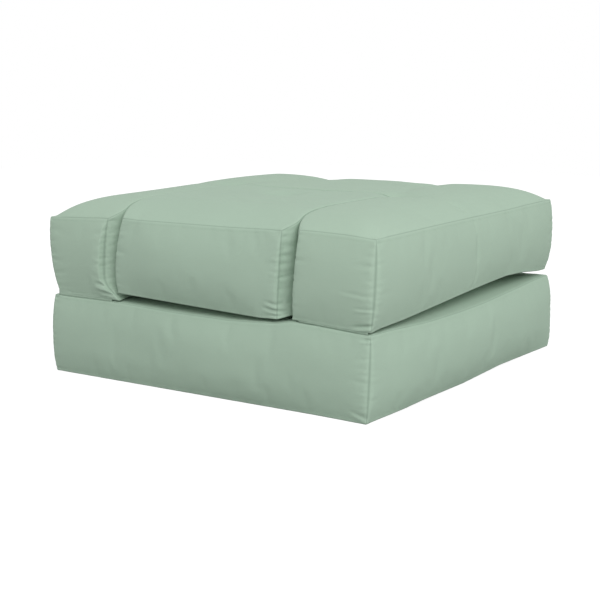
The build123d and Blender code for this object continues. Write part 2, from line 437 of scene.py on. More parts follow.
def gather(push, these, run, gap, generator, depth, spacing, length, width):
    """Short creases across a seam, uneven in place, length, depth and slant."""
    if not len(these):
        return
    at = run.min() + generator.uniform(*spacing)
    while at < run.max():
        long = generator.uniform(*length) * generator.choice([0.6, 1, 1.7], p=[0.45, 0.4, 0.15])
        wide = generator.uniform(*width)
        slant = generator.uniform(-0.22, 0.22)
        # A crease fans out from the seam, where the stitches pin it.
        cross = near_line(run - at - slant * gap, wide * (1 + gap / 0.03))
        pinned = 0.35 + 0.65 * smooth_step(gap, 0, 0.008)
        pull = generator.uniform(0.3, 1.1) * depth
        push[these] -= pull * cross * pinned * near_line(gap, long)
        at += generator.uniform(*spacing)


def sew(piece, corner_depth, edge_depth, seed, tucks=(), tight=None):
    """Draws the seams and the stitched line beside them in, gathers the cloth along them, most
    at the tight corner seam, and lays the front's tucks: lines with a depth and a width."""
    mesh = piece.data
    points = read_points(mesh)
    place, facing = points["place"], points["facing"]
    edge_gap, corner_gap, border = points["edge_gap"], points["corner_gap"], points["border"]
    generator = np.random.default_rng(seed)
    upper = place[:, 2] > place[:, 2].mean()
    side = smooth_step(border, 0.4, 0.9)
    push = -upper_seam_pull * near_line(edge_gap, 0.0028) * upper
    push += lower_seam_push * near_line(edge_gap, 0.0030) * ~upper
    push -= stitch_pull * side * near_line(edge_gap - stitch_gap, 0.0022)
    push -= corner_seam_pull * side * near_line(corner_gap, 0.0030)

    near = np.flatnonzero((border > 0.6) & (corner_gap < 0.12))
    turned = np.abs(facing[near, 0]) > np.abs(facing[near, 1])
    quarter = (place[near, 0] > 0) * 1 + (place[near, 1] > -0.2) * 2 + turned * 4
    for part in range(8):
        these = near[quarter == part]
        depth = corner_depth * (tight_share if part == tight else 1)
        run, gap = place[these, 2], corner_gap[these]
        gather(push, these, run, gap, generator, depth, **corner_gathers)

    near = np.flatnonzero(edge_gap < 0.09)
    turned = np.abs(place[near, 0]) > np.abs(place[near, 1])
    quarter = turned * 1 + ((place[near, 0] > 0) * turned + (place[near, 1] > 0) * ~turned) * 2
    quarter = quarter + upper[near] * 4
    for part in range(8):
        these = near[quarter == part]
        run = place[these, 1] if part % 2 else place[these, 0]
        gather(push, these, run, edge_gap[these], generator, edge_depth, **edge_gathers)

    front = smooth_step(-facing[:, 1], 0.3, 0.8) * (place[:, 1] < -0.4)
    for start, end, depth, wide in tucks:
        gap, along = line_gap(place[:, 0], place[:, 2], (start, end))
        run = np.subtract(end, start)
        rightwards, upwards = place[:, 0] - start[0], place[:, 2] - start[1]
        below = (rightwards * run[1] - upwards * run[0]) / np.hypot(*run)
        beyond = np.maximum(gap - np.abs(below), 0)
        fade = front * smooth_step(along, 0, 0.5) * near_line(beyond, wide)
        push -= depth * fade * near_line(below, wide)
        push += 0.7 * depth * fade * near_line(np.abs(below) - 2 * wide, wide) * (below > 0)
    place = place + facing * push[:, None]
    place[:, 2] = np.maximum(place[:, 2], lowest)
    mesh.vertices.foreach_set("co", place.astype(np.float32).ravel())
    mesh.update()


def new_group(name, inputs, outputs):
    """An empty shader node group with named inputs and outputs, and its two end nodes."""
    group = bpy.data.node_groups.new(name, "ShaderNodeTree")
    for label, kind, value in inputs:
        socket = group.interface.new_socket(label, in_out="INPUT", socket_type=kind)
        if value is not None:
            socket.default_value = value
    for label, kind in outputs:
        group.interface.new_socket(label, in_out="OUTPUT", socket_type=kind)
    return group, group.nodes.new("NodeGroupInput"), group.nodes.new("NodeGroupOutput")


def set_inputs(tree, node, values):
    """Gives a node's inputs their numbers, colours or links, by the inputs' names."""
    for label, value in values.items():
        socket = node.inputs[label.replace("_", " ")]
        if isinstance(value, bpy.types.NodeSocket):
            tree.links.new(value, socket)
        else:
            socket.default_value = value


def add_node(tree, kind, **values):
    """A new node with its inputs filled."""
    node = tree.nodes.new(kind)
    set_inputs(tree, node, values)
    return node


def maths(tree, action, first, second=0.0, third=0.0):
    """One math node, whose inputs are sockets or numbers; gives its result."""
    node = tree.nodes.new("ShaderNodeMath")
    node.operation = action
    for socket, value in zip(node.inputs, (first, second, third)):
        if isinstance(value, (int, float)):
            socket.default_value = value
        else:
            tree.links.new(value, socket)
    return node.outputs[0]


def twill_weave():
    """Diagonal twill: ridges of warp over finer crossing threads, with a few thick slubs."""
    group, given, made = new_group(
        "twill_weave",
        (("Plan", "NodeSocketVector", None), ("Thread", "NodeSocketFloat", thread_pitch)),
        (("Height", "NodeSocketFloat"), ("Slub", "NodeSocketFloat")),
    )
    split = add_node(group, "ShaderNodeSeparateXYZ", Vector=given.outputs["Plan"])
    turns = maths(group, "DIVIDE", 2 * math.pi, given.outputs["Thread"])
    across = maths(group, "MULTIPLY", split.outputs[0], turns)
    down = maths(group, "MULTIPLY", split.outputs[1], turns)
    ridge = maths(group, "SINE", maths(group, "ADD", across, down))
    warp = maths(group, "SINE", maths(group, "MULTIPLY", across, 2.0))
    weft = maths(group, "SINE", maths(group, "MULTIPLY", down, 2.0))
    cross = maths(group, "MULTIPLY", warp, weft)
    warp_height = maths(group, "MULTIPLY_ADD", ridge, 0.3, 0.5)
    height = maths(group, "MULTIPLY_ADD", cross, 0.35, warp_height)
    stretch = group.nodes.new("ShaderNodeVectorMath")
    stretch.operation = "MULTIPLY"
    stretch.inputs[1].default_value = slub_stretch
    group.links.new(given.outputs["Plan"], stretch.inputs[0])
    slub = add_node(
        group, "ShaderNodeTexNoise", Scale=slub_scale, Detail=3, Vector=stretch.outputs[0]
    )
    group.links.new(height, made.inputs["Height"])
    group.links.new(slub.outputs[0], made.inputs["Slub"])
    return group


def dyed_tone():
    """Uneven take-up of the dye: broad clouds and a fine fleck, around 1."""
    group, given, made = new_group(
        "dyed_tone",
        (
            ("Place", "NodeSocketVector", None),
            ("Cloud", "NodeSocketFloat", 0.06),
            ("Fleck", "NodeSocketFloat", 0.05),
        ),
        (("Tone", "NodeSocketFloat"),),
    )
    tone = 1.0
    for size, label in ((cloud_scale, "Cloud"), (fleck_scale, "Fleck")):
        noise = add_node(
            group, "ShaderNodeTexNoise", Scale=size, Detail=3, Vector=given.outputs["Place"]
        )
        spread = maths(group, "SUBTRACT", noise.outputs[0], 0.5)
        tone = maths(group, "MULTIPLY_ADD", spread, given.outputs[label], tone)
    group.links.new(tone, made.inputs["Tone"])
    return group


def seam_mask():
    """1 on the thin line of painted shade in the groove where two panels meet, and a soft share on the
    rubbed edge.
    """
    group, given, made = new_group(
        "seam_mask",
        (
            ("Edge Gap", "NodeSocketFloat", 1.0),
            ("Corner Gap", "NodeSocketFloat", 1.0),
            ("Line", "NodeSocketFloat", 0.0016),
            ("Rub", "NodeSocketFloat", 0.012),
        ),
        (("Line", "NodeSocketFloat"), ("Rubbed", "NodeSocketFloat")),
    )
    nearer = maths(group, "MINIMUM", given.outputs["Edge Gap"], given.outputs["Corner Gap"])
    line = maths(group, "SUBTRACT", 1.0, maths(group, "DIVIDE", nearer, given.outputs["Line"]))
    rub = maths(group, "SUBTRACT", 1.0, maths(group, "DIVIDE", nearer, given.outputs["Rub"]))
    group.links.new(maths(group, "MAXIMUM", line, 0.0), made.inputs["Line"])
    group.links.new(maths(group, "MAXIMUM", rub, 0.0), made.inputs["Rubbed"])
    return group


def place_group(tree, group, **values):
    """A group's node in a material, with its inputs filled."""
    node = tree.nodes.new("ShaderNodeGroup")
    node.node_tree = group
    set_inputs(tree, node, values)
    return node


def scaled_colour(tree, colour, tone):
    """A colour made lighter or darker by a tone around 1."""
    lit = tree.nodes.new("ShaderNodeVectorMath")
    lit.operation = "SCALE"
    lit.inputs[0].default_value = colour
    tree.links.new(tone, lit.inputs["Scale"])
    return lit.outputs[0]


def cotton(name, roughness, gloss, sheen):
    """A cotton material: itself, its node tree and its shader."""
    material = bpy.data.materials.new(name)
    material.use_nodes = True
    shader = material.node_tree.nodes["Principled BSDF"]
    shader.inputs["Roughness"].default_value = roughness
    shader.inputs["Specular IOR Level"].default_value = gloss
    shader.inputs["Sheen Weight"].default_value = sheen
    return material, material.node_tree, shader


weave, tone_group, seam_group = twill_weave(), dyed_tone(), seam_mask()
# The weave and its slubs lift a dye's mean tone by this factor.
woven_tone = 1.045


def sage_twill(name, dye, cloud):
    """Matt sage cotton twill: one cushion's dye and how far it clouds."""
    material, tree, shader = cotton(name, roughness=0.88, gloss=0.22, sheen=0.12)
    shader.inputs["Sheen Roughness"].default_value = 0.45
    shader.inputs["Sheen Tint"].default_value = sheen_tint
    gaps = []
    for label in ("edge_gap", "corner_gap"):
        gap = tree.nodes.new("ShaderNodeAttribute")
        gap.attribute_name = label
        gaps.append(gap.outputs["Fac"])
    plan = tree.nodes.new("ShaderNodeUVMap")
    plan.uv_map = "cloth_plan"
    place = tree.nodes.new("ShaderNodeTexCoord")
    woven = place_group(tree, weave, Plan=plan.outputs[0], Thread=thread_pitch)
    toned = place_group(tree, tone_group, Place=place.outputs["Object"], Cloud=cloud, Fleck=0.05)
    seams = place_group(
        tree, seam_group, Edge_Gap=gaps[0], Corner_Gap=gaps[1], Line=0.0019, Rub=0.011
    )
    tone = maths(tree, "MULTIPLY_ADD", woven.outputs["Height"], 0.05, toned.outputs["Tone"])
    tone = maths(tree, "MULTIPLY_ADD", woven.outputs["Slub"], 0.04, tone)
    tone = maths(tree, "MULTIPLY_ADD", seams.outputs["Rubbed"], 0.012, tone)
    dyed = scaled_colour(tree, [part / woven_tone for part in dye], tone)
    # The seam line is painted shade: the groove's shadow, mixed into the dye as a darker sage.
    shaded = tree.nodes.new("ShaderNodeMix")
    shaded.data_type = "RGBA"
    shaded.inputs["B"].default_value = (*seam_painted_shade, 1)
    tree.links.new(maths(tree, "MULTIPLY", seams.outputs["Line"], 0.7), shaded.inputs["Factor"])
    tree.links.new(dyed, shaded.inputs["A"])
    tree.links.new(shaded.outputs["Result"], shader.inputs["Base Color"])
    relief = maths(tree, "MULTIPLY_ADD", woven.outputs["Slub"], 0.5, woven.outputs["Height"])
    bump = add_node(tree, "ShaderNodeBump", Strength=0.6, Distance=0.0002, Height=relief)
    tree.links.new(bump.outputs[0], shader.inputs["Normal"])
    return material


base_lines = line_places((-half_side, half_side), panel_pitch, seam_lines)
base_levels = line_places((0, base_high_seam), border_pitch, border_lines) / base_high_seam
base_cover = boxed_cover(base_lines, base_lines, lambda x, y: np.abs(x) < 1, base_levels)


def base_places(cover):
    """Points of the base cushion: crowned panels, bulged sides and edges that sag in places."""
    x, y = cover["plan"].T
    share = cover["share"]
    high = edge_heights(x, y, base_high_seam, base_front_edge, base_right_edge)
    on_right = smooth_step(x, half_side - 0.12, half_side)
    low = lowest * 2 + (np.interp(y, *base_floor_edge) - lowest * 2) * on_right
    dimples = tie_dimples(x, y, base_tufts)
    top = high + (base_top - high) * pillow(x, y, run=0.27, steepness=2.1)
    under = low * (1 - crown_rise(cover["inset"], run=0.06, steepness=3)) + lowest
    z = heights(cover, low, high, top - dimples, under + dimples)
    bulge = base_bulge * fullness(half_side - np.minimum(np.abs(x), np.abs(y)), 0.2)
    places = swell(cover, z, cover["panel"] == 0, bulge, size=0.42, seed=11, low_fullness=4.2)
    front_right, back_right = corner_hill(x, y, 1, -1), corner_hill(x, y, 1, 1)
    front_left = corner_hill(x, y, -1, -1)
    # The corners lean and round off a little, most at their feet.
    places[:, 0] += (1 - share) * (0.006 * back_right - 0.011 * front_right - 0.004 * front_left)
    places[:, 0] += bow(share) * 0.004 * back_right - share * 0.003 * front_right
    places[:, 1] -= (1 - share) * 0.005 * front_right
    return places


base_cushion = cover_object("base_cushion", base_cover, base_places(base_cover))
# The seams hold firmly, the underside lies still on the floor and the top under its load.
base_held = np.where(border_seams(base_cover) | (base_cover["panel"] < 0), 1.0, 0)
stuff(base_cushion, np.where(base_cover["panel"] == 0, 1, 0.1), base_held)
base_tucks = (
    ((0.455, 0.190), (0.486, 0.1935), 0.0030, 0.0028),
    ((-0.455, 0.198), (-0.482, 0.200), 0.0015, 0.0030),
    ((0.43, 0.03), (0.478, 0.012), 0.0020, 0.0045),
)
sew(base_cushion, corner_depth=0.0017, edge_depth=0.0006, seed=3, tucks=base_tucks)
base_twill = sage_twill("base_sage_twill", dye=(0.402, 0.533, 0.424), cloud=0.06)
base_cushion.data.materials.append(base_twill)
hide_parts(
    "base_underside_panel",
    "base_border_strip",
    "base_top_panel",
    "base_lower_cotton",
    "base_foam_core",
    "base_upper_cotton",
)
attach(base_cushion, "base")

# Upper cushion
# One U-shaped boxed cushion of the same cloth, two arms and a rear block, that lies on the base
# and folds forwards. Its crown is high and tufted. At the mouth of its slot the left arm's wall
# draws back, and the lines of both slits lean to the right towards the top.
slot_half = 0.265
slot_end = 0.0018
rest_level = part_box("upper_underside_panel")[0][2]
upper_high_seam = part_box("upper_border_strip")[1][2]
upper_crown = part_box("upper_top_panel")[1][2] - upper_high_seam
upper_bulge = 0.016
mouth_depth = 0.08
open_depth = 0.04
left_lean = 0.024
right_foot = 0.007
right_lean = 0.019
arm_draw = 0.040
slit_side_reach = 0.11
lip_reach = 0.008
under_lift = 0.004
rear_tufts = [(-0.17, 0.311), (0.17, 0.311)]
block_tuft = (0, -0.125)
tuft_fall = 0.0156
slit_ends = ((-0.272, 0.004), (0.285, -0.008))
pinch_fall = 0.016
# Edge seams of the layer: places along an edge, and the seam's height at each. The upper front
# one steps at the slits, from an arm to the back block.
upper_front_low = (
    (-0.485, -0.433, -0.37, -0.30, -0.265, 0.265, 0.326, 0.38, 0.42, 0.458, 0.485),
    (0.2140, 0.2090, 0.2090, 0.2100, 0.2090, 0.2185, 0.2167, 0.2133, 0.2108, 0.2085, 0.2085),
)
upper_right_low = (
    (-0.485, -0.45, -0.344, -0.197, -0.038, 0.065, 0.212, 0.33, 0.44, 0.485),
    (0.2085, 0.2145, 0.2165, 0.224, 0.232, 0.237, 0.243, 0.239, 0.224, 0.221),
)
left_arm_high = ((-0.485, -0.38, -0.30, -0.2648), (0.4110, 0.4160, 0.4190, 0.4190))
block_high = ((-0.2632, -0.20, 0.1, 0.217, 0.2632), (0.4228, 0.4205, 0.4205, 0.4228, 0.4225))
right_arm_high = ((0.2648, 0.35, 0.403, 0.455, 0.485), (0.4275, 0.4278, 0.4262, 0.422, 0.4190))
upper_front_high = tuple(
    left + middle + right for left, middle, right in zip(left_arm_high, block_high, right_arm_high)
)
upper_right_high = ((-0.485, 0.2, 0.485), (0.4190, 0.417, 0.4205))
# Creases (depth over 0) and soft ridges (under 0) of the top: line, depth and width.
top_creases = (
    (
        ((-0.06, -0.285), (0.02, -0.335), (0.12, -0.315), (0.19, -0.312), (0.25, -0.345)),
        0.0030,
        0.014,
    ),
    (((-0.15, -0.05), (-0.02, -0.022), (0.13, -0.004)), 0.0022, 0.018),
    (((0.268, 0.006), (0.235, 0.14), (0.21, 0.345)), 0.0050, 0.020),
    (((0.05, 0.30), (0.13, 0.255), (0.195, 0.19), (0.24, 0.155)), -0.0030, 0.012),
    (((-0.268, 0.006), (-0.20, 0.12), (-0.17, 0.30)), 0.0040, 0.020),
    (((0.17, 0.31), (0.20, 0.40), (0.22, 0.46)), 0.0050, 0.022),
    (((-0.17, 0.31), (-0.175, 0.40), (-0.18, 0.46)), 0.0050, 0.022),
    (((0.276, -0.036), (0.300, -0.020), (0.340, 0.012)), 0.0090, 0.011),
    (((0.0, -0.125), (0.10, -0.17), (0.20, -0.16)), 0.0020, 0.018),
)


def slit_mouth(y, share):
    """At the slits' mouth: how far the left and the right slit's line lie to the right of their
    straight places, how near the mouth is, and how far a wall has turned to the front."""
    mouth = np.clip((mouth_depth - half_side - y) / mouth_depth, 0, 1) ** 2
    turned = np.clip((open_depth - half_side - y) / open_depth, 0, 1) ** 1.5
    left_line = left_lean * share**2 * mouth
    right_line = (right_foot + right_lean * share) * mouth
    return left_line, right_line, mouth, turned


def layer_edge(x, y):
    """Height of the layer's upper edge seam, carried inwards."""
    return edge_heights(x, y, upper_high_seam, upper_front_high, upper_right_high)


def layer_top(x, y):
    """Height of the upper layer's top: one crown, less the tufts' dimples, the pinches at the
    slits' ends and the shallow creases that run between them."""
    high = layer_edge(x, y)
    crown = (upper_high_seam + upper_crown - high) * pillow(x, y, run=0.29, steepness=4.6)
    fall = tuft_fall * soft_hill(x, y, *block_tuft, 0.05, 0.05)
    # The filling has gathered in a low hill at the left.
    fall = fall - 0.008 * soft_hill(x, y, -0.33, 0.16, 0.15, 0.26)
    for tuft in rear_tufts:
        fall = fall + tuft_fall * soft_hill(x, y, *tuft, 0.055, 0.055)
    for slit_end_place in slit_ends:
        fall = fall + pinch_fall * soft_hill(x, y, *slit_end_place, 0.045, 0.045)
    for line, depth, wide in top_creases:
        gap, along = line_gap(x, y, line)
        fade = np.sin(np.pi * np.clip(0.15 + 0.7 * along, 0, 1))
        fall = fall + depth * fade * near_line(gap, wide)
    return high + np.maximum(crown - np.maximum(fall, -0.008), -0.002)


def slit_lip(side_gap, end_gap):
    """Fall of the top towards a slit: soft lips that touch over it."""
    falls = []
    for gap, fall in ((side_gap, 0.0012), (end_gap, 0.0010)):
        round_share = 1 - (1 - np.clip(gap / lip_reach, 0, 1)) ** 2
        falls.append(fall * (1 - np.sqrt(round_share)))
    return np.maximum(*falls)


upper_xs = line_places((-half_side, -slot_half, slot_half, half_side), panel_pitch, seam_lines)
upper_ys = line_places((-half_side, slot_end, half_side), panel_pitch, seam_lines)
upper_height = upper_high_seam - rest_level
upper_levels = line_places((0, upper_height), border_pitch, border_lines) / upper_height
upper_cover = boxed_cover(
    upper_xs, upper_ys, lambda x, y: (np.abs(x) > slot_half) | (y > slot_end), upper_levels
)
upper_x, upper_y = upper_cover["plan"].T
upper_walls = (upper_cover["panel"] == 0) & (np.abs(upper_x) < slot_half + 0.001)
upper_walls &= upper_y < slot_end + 0.001


def upper_places(cover):
    """Points of the U-shaped cushion."""
    x, y = cover["plan"].T
    share = cover["share"]
    side_gap = np.where(y < slot_end, np.abs(np.abs(x) - slot_half), 9)
    end_gap = np.where(np.abs(x) < slot_half, np.maximum(y - slot_end, 0), 9)
    notch = 0.005 * soft_hill(x, y, slot_half, -half_side, 0.010, 0.010)
    top = layer_top(x, y) - slit_lip(side_gap, end_gap) - notch
    low = edge_heights(x, y, rest_level + under_lift, upper_front_low, upper_right_low)
    high = np.where(upper_walls, top, layer_edge(x, y))
    under = low + (rest_level - low) * crown_rise(cover["inset"], run=0.24, steepness=2.2)
    z = heights(cover, low, high, top, under + tie_dimples(x, y, rear_tufts))
    bulge = upper_bulge * fullness(half_side - np.minimum(np.abs(x), np.abs(y)), 0.2)
    free = (cover["panel"] == 0) & ~upper_walls
    places = swell(cover, z, free, bulge, size=0.36, seed=5)
    left_line, right_line, mouth, turned = slit_mouth(y, share)
    near_left = (1 - smooth_step(np.abs(x + slot_half), 0, slit_side_reach)) * (x < 0)
    near_right = (1 - smooth_step(np.abs(x - slot_half), 0, slit_side_reach)) * (x > 0)
    # The left arm's corner seam draws back above its foot, and the right arm closes its slit.
    drawn = arm_draw + 0.006 * share - 0.047 * near_line(share, 0.14)
    places[:, 0] += (left_line - drawn * turned) * near_left
    places[:, 0] += (right_line - 0.0013 * mouth) * near_right
    front_left = corner_hill(x, y, -1, -1, 0.14, 0.3)
    front_right = corner_hill(x, y, 1, -1, 0.12, 0.25)
    back_right = corner_hill(x, y, 1, 1)
    # The foot of each outer corner draws in, and the front right one leans out at its top.
    places[:, 0] += front_left * (0.024 * (1 - share) ** 2 - 0.006)
    places[:, 0] += front_right * (0.014 * share**0.7 - 0.003)
    places[:, 0] += back_right * (0.004 - 0.013 * (1 - share) ** 2)
    return places


def panel_freedom(cover):
    """How freely the points of a tufted cushion move when it is filled: the border most, the
    top less and the underside, which lies on the base, least."""
    return np.where(cover["panel"] > 0, 0.4, np.where(cover["panel"] < 0, 0.1, 1))


upper_cushion = cover_object("upper_cushion", upper_cover, upper_places(upper_cover))
upper_held = np.where(border_seams(upper_cover) | upper_walls, 1.0, 0)
stuff(upper_cushion, panel_freedom(upper_cover), upper_held)
upper_tucks = (
    ((-0.340, 0.252), (-0.262, 0.242), 0.0050, 0.0055),
    ((-0.330, 0.230), (-0.266, 0.224), 0.0022, 0.0040),
    ((0.436, 0.262), (0.490, 0.262), 0.0018, 0.0030),
    ((0.430, 0.218), (0.488, 0.224), 0.0040, 0.0035),
    ((0.400, 0.300), (0.488, 0.290), 0.0010, 0.0040),
)
sew(upper_cushion, corner_depth=0.0018, edge_depth=0.0005, seed=4, tucks=upper_tucks, tight=4)
upper_twill = sage_twill("upper_sage_twill", dye=(0.405, 0.535, 0.425), cloud=0.05)
upper_cushion.data.materials.append(upper_twill)
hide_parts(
    "upper_underside_panel",
    "upper_border_strip",
    "upper_top_panel",
    *[
        part + layer
        for part in ("left_arm", "right_arm", "rear")
        for layer in ("_lower_cotton", "_foam_core", "_upper_cotton")
    ],
)


def press_flat(piece):
    """Gives the piece its own copy of its mesh; the crown is not pressed flat."""
    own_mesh(piece)


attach(upper_cushion, "upper_cushion")
press_flat(upper_cushion)

# Back block
# A boxed cushion of the same cloth in the mouth of the U. It flips back on a hinge at its inner
# end and becomes the chair's back. The wall of its right end draws back at the front, so its
# gathered corner seam shows beside the slit.
block_half = 0.263
block_end = -0.0018
block_bulge = 0.020
block_draw = 0.042
block_front_low = ((-0.263, -0.05, 0.20, 0.263), (0.230, 0.221, 0.211, 0.2095))
block_cover = boxed_cover(
    line_places((-block_half, block_half), panel_pitch, seam_lines),
    line_places((-half_side, block_end), panel_pitch, seam_lines),
    lambda x, y: np.abs(x) < 1,
    upper_levels,
)
block_face = (block_cover["panel"] == 0) & (block_cover["plan"][:, 1] < -half_side + 0.001)


def block_places(cover):
    """Points of the back block, with soft lips along its slits."""
    x, y = cover["plan"].T
    share = cover["share"]
    side_gap = block_half - np.abs(x)
    top = layer_top(x, y) - slit_lip(side_gap, block_end - y)
    flat_low = rest_level + under_lift
    front_share = np.exp(-(half_side + y) / 0.08)
    low = flat_low + (np.interp(x, *block_front_low) - flat_low) * front_share
    # The foot of the right wall lifts behind the corner seam.
    low = low + 0.011 * soft_hill(x, y, block_half, -half_side + 0.036, 0.05, 0.034)
    high = np.where(block_face, layer_edge(x, y), top)
    under = low + (rest_level - low) * crown_rise(cover["inset"], run=0.2, steepness=3)
    z = heights(cover, low, high, top, under + tie_dimples(x, y, [block_tuft]))
    bulge = block_bulge * fullness(side_gap, 0.15)
    places = swell(cover, z, block_face, bulge, size=0.36, seed=8)
    left_line, right_line, _, turned = slit_mouth(y, share)
    near_left = 1 - smooth_step(block_half + x, 0, slit_side_reach)
    near_right = 1 - smooth_step(block_half - x, 0, slit_side_reach)
    drawn = block_draw + 0.002 * share
    places[:, 0] += left_line * near_left
    places[:, 0] += (right_line - drawn * turned) * near_right
    return places


back_block_cushion = cover_object("back_block_cushion", block_cover, block_places(block_cover))
block_walls = (block_cover["panel"] == 0) & ~block_face
block_held = np.where(border_seams(block_cover) | block_walls, 1.0, 0)
stuff(back_block_cushion, panel_freedom(block_cover), block_held)
block_tucks = (
    ((0.195, 0.256), (0.236, 0.246), 0.0022, 0.0040),
    ((0.185, 0.240), (0.238, 0.232), 0.0030, 0.0040),
    ((0.205, 0.222), (0.240, 0.222), 0.0020, 0.0030),
)
sew(back_block_cushion, corner_depth=0.0019, edge_depth=0.0005, seed=6, tucks=block_tucks, tight=5)
block_twill = sage_twill("back_block_sage_twill", dye=(0.403, 0.534, 0.425), cloud=0.05)
back_block_cushion.data.materials.append(block_twill)
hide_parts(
    "back_block_underside_panel",
    "back_block_border_strip",
    "back_block_top_panel",
    "back_block_lower_cotton",
    "back_block_foam_core",
    "back_block_upper_cotton",
)
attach(back_block_cushion, "back_block")
press_flat(back_block_cushion)

# Stitching
# A row of sage thread along both edges of each border, a finger's width from the seam, that
# holds the seam's turned-in cloth flat. Each stitch is a short twist of thread on the cloth.
stitch_pitch = 0.0055
stitch_length = 0.0040
thread_radius = 0.00035
twist_scale = 700


def sage_thread(name, colour):
    """Spun cotton thread: a fine slanting twist over a matt sage."""
    material, tree, shader = cotton(name, roughness=0.7, gloss=0.3, sheen=0.1)
    place = tree.nodes.new("ShaderNodeTexCoord").outputs["Object"]
    twist = add_node(tree, "ShaderNodeTexWave", Scale=twist_scale, Vector=place)
    twist.bands_direction = "DIAGONAL"
    toned = place_group(tree, tone_group, Place=place, Cloud=0.05, Fleck=0.1)
    tone = maths(tree, "MULTIPLY_ADD", twist.outputs["Fac"], 0.12, toned.outputs["Tone"])
    tree.links.new(scaled_colour(tree, colour, tone), shader.inputs["Base Color"])
    bump = add_node(tree, "ShaderNodeBump", Distance=0.0001, Height=twist.outputs["Fac"])
    tree.links.new(bump.outputs[0], shader.inputs["Normal"])
    return material


def stitches(name, cushion, cover, body):
    """Stitches along both edges of a cushion's border."""
    points = read_points(cushion.data)
    around = cover["around"]
    corners, faces = [], []
    for row in (stitch_row, cover["rows"] - stitch_row):
        loop = np.arange(row * around, (row + 1) * around)
        loop = np.append(loop, loop[0])
        route, facing = points["place"][loop], points["facing"][loop]
        run = np.concatenate([[0], np.cumsum(np.linalg.norm(np.diff(route, axis=0), axis=1))])
        starts = np.arange(stitch_pitch / 2, run[-1] - stitch_pitch, stitch_pitch)
        ends = np.stack([starts, starts + stitch_length / 2, starts + stitch_length], 1)
        place = np.stack([np.interp(ends, run, route[:, part]) for part in range(3)], 2)
        out = np.stack([np.interp(ends, run, facing[:, part]) for part in range(3)], 2)
        out /= np.linalg.norm(out, axis=2, keepdims=True)
        along = place[:, 2:] - place[:, :1]
        side = np.cross(out, along)
        side /= np.maximum(np.linalg.norm(side, axis=2, keepdims=True), 1e-9)
        # A stitch is thin at its ends, in the cloth, and stands up a little in its middle.
        full = np.array([0.5, 1, 0.5])[None, :, None] * thread_radius
        middle = place + out * np.array([0, 0.8, 0])[None, :, None] * thread_radius
        rings = np.stack(
            [middle + out * full, middle + side * full, middle - out * full, middle - side * full], 2
        )
        first = len(corners)
        corners.extend(rings.reshape(-1, 3).tolist())
        for number in range(len(starts)):
            at = first + number * 12
            faces.append((at + 3, at + 2, at + 1, at))
            faces.append((at + 8, at + 9, at + 10, at + 11))
            for ring in (at, at + 4):
                for part in range(4):
                    after = (part + 1) % 4
                    faces.append((ring + part, ring + after, ring + 4 + after, ring + 4 + part))
    mesh = smooth_mesh(name, corners, faces)
    mesh.materials.append(thread)
    piece = in_scene(name, mesh)
    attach(piece, body)
    return piece


thread = sage_thread("sage_thread", (0.37, 0.50, 0.39))
stitches("base_stitching", base_cushion, base_cover, "base")
press_flat(stitches("upper_stitching", upper_cushion, upper_cover, "upper_cushion"))
press_flat(stitches("back_block_stitching", back_block_cushion, block_cover, "back_block"))

# Tufting ties
# Waxed cotton cords pulled through each cushion and knotted at both ends, which draw its dimples
# in. Only the knots show: two crossed turns and two short tails, seated in the dimple.
cord_radius = 0.0011
knot_reach = 0.0058
turn_lifts = (0.0016, 0.0030)
tail_reach = 0.013
tail_curl = 25


def cord_tube(route, radius, corners, faces, sides=8):
    """Adds a closed tube along a route to a list of corners and faces."""
    ahead = np.gradient(route, axis=0)
    ahead /= np.linalg.norm(ahead, axis=1, keepdims=True)
    side = np.cross(ahead, (0, 0, 1.0))
    side /= np.maximum(np.linalg.norm(side, axis=1, keepdims=True), 1e-9)
    over = np.cross(side, ahead)
    first = len(corners)
    for place, a, b in zip(route, side, over):
        for part in range(sides):
            turn = 2 * math.pi * part / sides
            corners.append((place + radius * (math.cos(turn) * a + math.sin(turn) * b)).tolist())
    for ring in range(len(route) - 1):
        for part in range(sides):
            after = (part + 1) % sides
            at, up = first + ring * sides, first + (ring + 1) * sides
            faces.append((at + part, at + after, up + after, up + part))
    faces.append([first + part for part in reversed(range(sides))])
    faces.append([first + (len(route) - 1) * sides + part for part in range(sides)])


def tuft_knots(name, cushion, tufts, node, body):
    """The knots at both ends of a cushion's ties."""
    points = read_points(cushion.data)
    corners, faces = [], []
    for number, (x, y) in enumerate(tufts):
        for up in (1, -1):
            seen = points["facing"][:, 2] * up > 0.5
            gap = np.hypot(points["place"][:, 0] - x, points["place"][:, 1] - y) + ~seen * 9
            level = points["place"][np.argmin(gap), 2]
            start = 0.4 + 1.3 * number + (up < 0)
            steps = np.linspace(-1, 1, 11)
            for turn, lift in zip((start, start + math.pi / 2), turn_lifts):
                rise = cord_radius * 0.3 + lift * (1 - steps**2) - 0.0016 * np.abs(steps) ** 5
                across = x + knot_reach * steps * math.cos(turn)
                along = y + knot_reach * steps * math.sin(turn)
                cord_tube(np.stack([across, along, level + up * rise], 1), cord_radius, corners, faces)
            for turn in (start + 0.8, start + 3.6):
                reach = np.linspace(0.002, tail_reach, 8)
                bend = turn + tail_curl * (reach - reach[0])
                rise = cord_radius + 0.02 * reach
                across, along = x + reach * np.cos(bend), y + reach * np.sin(bend)
                route = np.stack([across, along, level + up * rise], 1)
                cord_tube(route, cord_radius * 0.8, corners, faces)
    corners = [(x, y, max(z, lowest)) for x, y, z in corners]
    mesh = smooth_mesh(name, corners, faces)
    mesh.materials.append(tie)
    piece = in_scene(name, mesh)
    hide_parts(node)
    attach(piece, body)
    return piece


